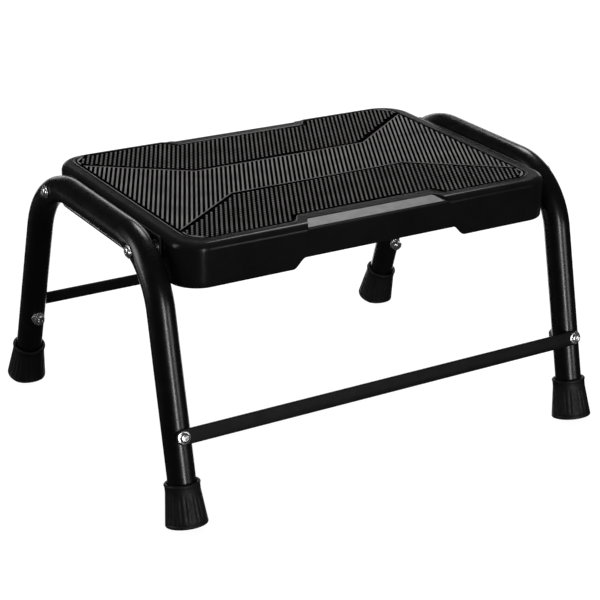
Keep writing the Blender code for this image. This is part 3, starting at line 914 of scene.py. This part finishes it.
def groove_path():
    """Centre line of the rear dividing groove from right to left, run on to the mat's sides."""
    (bend_x, bend_y), (end_x, end_y) = GROOVE_BEND, GROOVE_END
    slope = (end_y - bend_y) / (end_x - bend_x)
    side = (MAT_X, bend_y + slope * (MAT_X - bend_x))
    right = [side, (bend_x, bend_y)]
    return right + [(-x, y) for x, y in right[::-1]]


def cut_at_side(path, side_x):
    """The path with its two ends moved along their runs to x = side_x and x = -side_x."""
    (x0, y0), (x1, y1) = path[0], path[1]
    y = y1 + (y0 - y1) * (side_x - x1) / (x0 - x1)
    return [(side_x, y)] + path[1:-1] + [(-side_x, y)]


def beside_groove(sy, margin):
    """Path from right to left just inside a groove, drawn at the rear for the front groove too."""
    return cut_at_side(offset_path(groove_path(), GROOVE_HALF[sy] + margin), MAT_X - MAT_SIDE)


def central_zone(shrink):
    """Outline of the bow-tie zone between the two grooves, drawn in from them by a margin."""
    return beside_groove(1, shrink) + [(x, -y) for x, y in beside_groove(-1, shrink)[::-1]]


def outer_zone(sy):
    """Outline of the pip zone at the rear or front of the mat."""
    margin = 0.8               # bare margin along the notch and the rear or front edge
    groove = cut_at_side(offset_path(groove_path(), -GROOVE_HALF[sy]), MAT_X - PIP_SIDE)
    notch = s_curve((NOTCH_INNER_X + margin, NOTCH_Y - margin), (NOTCH_OUTER_X + margin, MAT_Y - margin))
    right = notch + [(PATCH_END_X - 0.7, MAT_Y - margin), (MAT_X - PIP_SIDE, PATCH_SIDE_Y - 0.7)]
    outline = groove[::-1] + right[::-1] + [(-x, y) for x, y in right]
    return [(x, sy * y) for x, y in outline]


def crossings(outline, offset):
    """Where the rib line at an offset enters and leaves an outline: pairs of distances along it."""
    along = Vector((cos(RIB_ANGLE), sin(RIB_ANGLE)))
    across = Vector((sin(RIB_ANGLE), -cos(RIB_ANGLE)))
    found = []
    for a, b in zip(outline, outline[1:] + outline[:1]):
        a, b = Vector(a), Vector(b)
        side_a, side_b = a.dot(across) - offset, b.dot(across) - offset
        if (side_a > 0) != (side_b > 0):
            found.append((a + (b - a) * (side_a / (side_a - side_b))).dot(along))
    found.sort()
    return list(zip(found[::2], found[1::2]))


def rib_point(offset, distance):
    return (offset * sin(RIB_ANGLE) + distance * cos(RIB_ANGLE),
            -offset * cos(RIB_ANGLE) + distance * sin(RIB_ANGLE))


def block(corners, top, base, bevel=1.0):
    """Rings of a raised block over an outline; bevel scales the bevel of its top edges."""
    levels = [(0.0, base), (0.12, top - TREAD_BEVEL), (TREAD_BEVEL * 0.55, top - TREAD_BEVEL * 0.35),
              (TREAD_BEVEL * 1.2, top)]
    return [at_height(inset(corners, step * bevel), height) for step, height in levels]


def tread_blocks(outline, pips, top, base):
    """Ribs over a zone; with pips, each rib is cut into short blocks that lie like bricks."""
    reach = hypot(MAT_X, MAT_Y)
    rows = ceil(reach / RIB_PITCH)
    blocks = []
    for row in range(-rows, rows + 1):
        centre = row * RIB_PITCH
        lows = crossings(outline, centre - RIB_HALF)
        highs = crossings(outline, centre + RIB_HALF)
        for low in lows:
            high = next((h for h in highs if h[0] < low[1] and h[1] > low[0]), None)
            if high is None:
                continue
            if not pips:
                cells = [(-reach, reach)]
            else:
                shift = PIP_PITCH / 2 * (row % 2)
                first = int(min(low[0], high[0]) // PIP_PITCH) - 1
                last = int(max(low[1], high[1]) // PIP_PITCH) + 1
                cells = [(i * PIP_PITCH + shift, (i + 1) * PIP_PITCH + shift - PIP_GAP)
                         for i in range(first, last + 1)]
            for start, stop in cells:
                corners = [rib_point(centre - RIB_HALF, max(start, low[0])),
                           rib_point(centre - RIB_HALF, min(stop, low[1])),
                           rib_point(centre + RIB_HALF, min(stop, high[1])),
                           rib_point(centre + RIB_HALF, max(start, high[0]))]
                shortest = min(min(stop, side[1]) - max(start, side[0]) for side in (low, high))
                if shortest > PIP_LEAST:
                    blocks.append(block(corners, top, base, min(1.0, shortest / PIP_FULL)))
    return blocks


def border_band(sy, top, base):
    """Raised band that joins the ends of the middle ribs along the rear or front groove."""
    outline = beside_groove(sy, 0.0) + beside_groove(sy, BAND_WIDTH)[::-1]
    return block([(x, sy * y) for x, y in outline], top, base)


def corner_patch(sx, sy, top, base):
    """Smooth raised sliver along a round corner of the mat."""
    radius = MAT_CORNER - 0.4
    centre = (MAT_X - MAT_CORNER, MAT_Y - MAT_CORNER)
    start = (PATCH_END_X, centre[1] + sqrt(radius ** 2 - (PATCH_END_X - centre[0]) ** 2))
    first_angle = degrees(atan2(start[1] - centre[1], start[0] - centre[0]))
    groove_y = groove_path()[0][1] + 1.2
    outline = arc(centre, radius, first_angle, 0, 10) + [(MAT_X - 0.4, groove_y)]
    outline += [(MAT_X - 2.2, groove_y + 0.4), (MAT_X - 2.2, PATCH_SIDE_Y)]
    outline = [(sx * x, sy * y) for x, y in outline]
    levels = [(0.0, base), (0.05, top - TREAD_BEVEL), (TREAD_BEVEL, top)]
    return [at_height(inset(outline, step), height) for step, height in levels]


def tread_mat(material):
    """Rubber mat: a slab with ribs in the middle, pips at front and rear, and dividing grooves."""
    top = PLATFORM_TOP
    floor = top - TREAD_DEPTH
    low = top - MAT_THICKNESS
    base = floor - 0.3
    levels = [(0.3, low), (0.0, low + 0.3), (0.0, floor - 0.4), (0.12, floor - 0.12), (0.4, floor)]
    mat = loft("ribbed_tread_mat", [at_height(inset(mat_outline(0.0), step), z) for step, z in levels])
    bodies = tread_blocks(central_zone(BAND_WIDTH - 0.3), False, top, base)
    for sy in ENDS.values():
        bodies += tread_blocks(outer_zone(sy), True, top, base)
        bodies.append(border_band(sy, top, base))
    join_meshes(mat, lofts("tread_blocks", bodies))
    for sx, sy in CORNERS.values():
        join_meshes(mat, loft("patch", corner_patch(sx, sy, top, base)))
    move(mat, (0, MAT_MIDDLE_Y, 0))
    return dress(mat, material, ["tread_mat"], 25)


# ---------------------------------------------------------------- the stool

def build_stool():
    looks = {make.__name__: make() for make in (tube_paint, brace_paint, platform_plastic, mat_rubber,
                                                foot_rubber, zinc)}
    platform(looks["platform_plastic"])
    tread_mat(looks["mat_rubber"])
    for side, sx in SIDES.items():
        side_frame(side, sx, looks["tube_paint"])
        end_strip(side, sx, looks["brace_paint"])
    for end, sy in ENDS.items():
        brace(end, sy, looks["brace_paint"])
    for corner, (sx, sy) in CORNERS.items():
        foot(corner, sx, sy, looks["foot_rubber"])
        brace_fixing(corner, sx, sy, looks["zinc"])
        platform_fixing(corner, sx, sy, looks["zinc"])


# ---------------------------------------------------------------- studio, in metres

CAMERA_PLACE = (-0.83477, -1.34291, 0.77801)
CAMERA_YAW = radians(32.01)    # from +Y towards +X
CAMERA_PITCH = radians(23.022)
CAMERA_ROLL = radians(1.327)
CAMERA_LENS = 103.99
SENSOR = 36.0


def add_camera():
    flat_ahead = Vector((sin(CAMERA_YAW), cos(CAMERA_YAW), 0.0))
    ahead = flat_ahead * cos(CAMERA_PITCH) + Vector((0.0, 0.0, -sin(CAMERA_PITCH)))
    level = Vector((cos(CAMERA_YAW), -sin(CAMERA_YAW), 0.0))
    upright = level.cross(ahead)
    right = level * cos(CAMERA_ROLL) + upright * sin(CAMERA_ROLL)
    up = upright * cos(CAMERA_ROLL) - level * sin(CAMERA_ROLL)
    data = bpy.data.cameras.new("camera")
    data.lens = CAMERA_LENS
    data.sensor_width = SENSOR
    camera = bpy.data.objects.new("camera", data)
    turn = Matrix((right, up, -ahead)).transposed().to_4x4()
    camera.matrix_world = Matrix.Translation(CAMERA_PLACE) @ turn
    bpy.context.scene.collection.objects.link(camera)
    bpy.context.scene.camera = camera


def soft_box(name, place, target, size, power):
    """Rectangular lamp of power watts at a place, turned to face a target."""
    data = bpy.data.lights.new(name, "AREA")
    data.shape = "RECTANGLE"
    data.size, data.size_y = size
    data.energy = power
    light = bpy.data.objects.new(name, data)
    light.location = place
    light.rotation_euler = (Vector(target) - Vector(place)).to_track_quat("-Z", "Y").to_euler()
    bpy.context.scene.collection.objects.link(light)
    return light


def add_floor():
    """Plain white paper that neither the stool nor its gloss sees, so that black parts stay black."""
    bpy.ops.mesh.primitive_grid_add(x_subdivisions=8, y_subdivisions=8, size=30)
    floor = bpy.context.object
    floor.name = "floor"
    material = bpy.data.materials.new("floor_paper")
    material.use_nodes = True
    nodes = material.node_tree.nodes
    links = material.node_tree.links
    shader = nodes["Principled BSDF"]
    shader.inputs["Base Color"].default_value = (0.12, 0.12, 0.12, 1.0)
    shader.inputs["Roughness"].default_value = 0.9
    shader.inputs["Emission Color"].default_value = (1.0, 1.0, 1.0, 1.0)
    shader.inputs["Emission Strength"].default_value = 0.97
    grain = nodes.new("ShaderNodeTexNoise")
    grain.inputs["Scale"].default_value = 900.0
    bump = nodes.new("ShaderNodeBump")
    bump.inputs["Distance"].default_value = 0.0001
    links.new(grain.outputs["Fac"], bump.inputs["Height"])
    links.new(bump.outputs["Normal"], shader.inputs["Normal"])
    floor.data.materials.append(material)
    floor.visible_glossy = False
    floor.visible_diffuse = False
    floor.visible_shadow = False


def add_world():
    """White backdrop for the eye, and a dim even room for everything else."""
    world = bpy.data.worlds.new("studio")
    bpy.context.scene.world = world
    world.use_nodes = True
    nodes = world.node_tree.nodes
    links = world.node_tree.links
    room = nodes["Background"]
    room.inputs["Color"].default_value = (1.0, 1.0, 1.0, 1.0)
    room.inputs["Strength"].default_value = 0.025
    backdrop = nodes.new("ShaderNodeBackground")
    backdrop.inputs["Color"].default_value = (1.0, 1.0, 1.0, 1.0)
    backdrop.inputs["Strength"].default_value = 1.0
    path = nodes.new("ShaderNodeLightPath")
    mix = nodes.new("ShaderNodeMixShader")
    links.new(path.outputs["Is Camera Ray"], mix.inputs["Fac"])
    links.new(room.outputs["Background"], mix.inputs[1])
    links.new(backdrop.outputs["Background"], mix.inputs[2])
    links.new(mix.outputs["Shader"], nodes["World Output"].inputs["Surface"])


def add_lights():
    """One broad lamp for the matt surfaces, and smaller ones that draw the streaks on the glossy ones."""
    middle = (0.0, 0.0, 0.2)
    overhead = soft_box("overhead", (0.3, 0.4, 2.3), middle, (1.6, 1.6), 42.0)
    overhead.visible_glossy = False
    soft_box("grip_glow", (0.976, 1.03, 1.54), (0.0, -0.13, 0.24), (0.6, 0.6), 8.5)
    soft_box("rear_edge", (1.05, 1.7, 0.43), middle, (2.4, 0.4), 5.5)
    soft_box("rear_low", (1.0, 1.7, -0.45), middle, (2.4, 0.9), 14.0)
    soft_box("front_strip", (-0.25, -2.0, 0.25), (0.0, 0.0, 0.15), (0.2, 1.2), 14.0)
    soft_box("front_right", (0.9, -1.9, 0.25), (0.0, 0.0, 0.15), (0.5, 0.5), 4.0)
    soft_box("left_low", (-1.58, 1.36, -0.10), (-0.22, 0.0, 0.23), (0.5, 0.5), 1.2)
    soft_box("left_strip", (-1.94, 0.70, 0.85), middle, (0.5, 1.4), 12.0)


def set_colour():
    settings = bpy.context.scene.view_settings
    settings.view_transform = "Standard"
    settings.look = "None"


build_stool()
add_floor()
add_world()
add_lights()
add_camera()
set_colour()
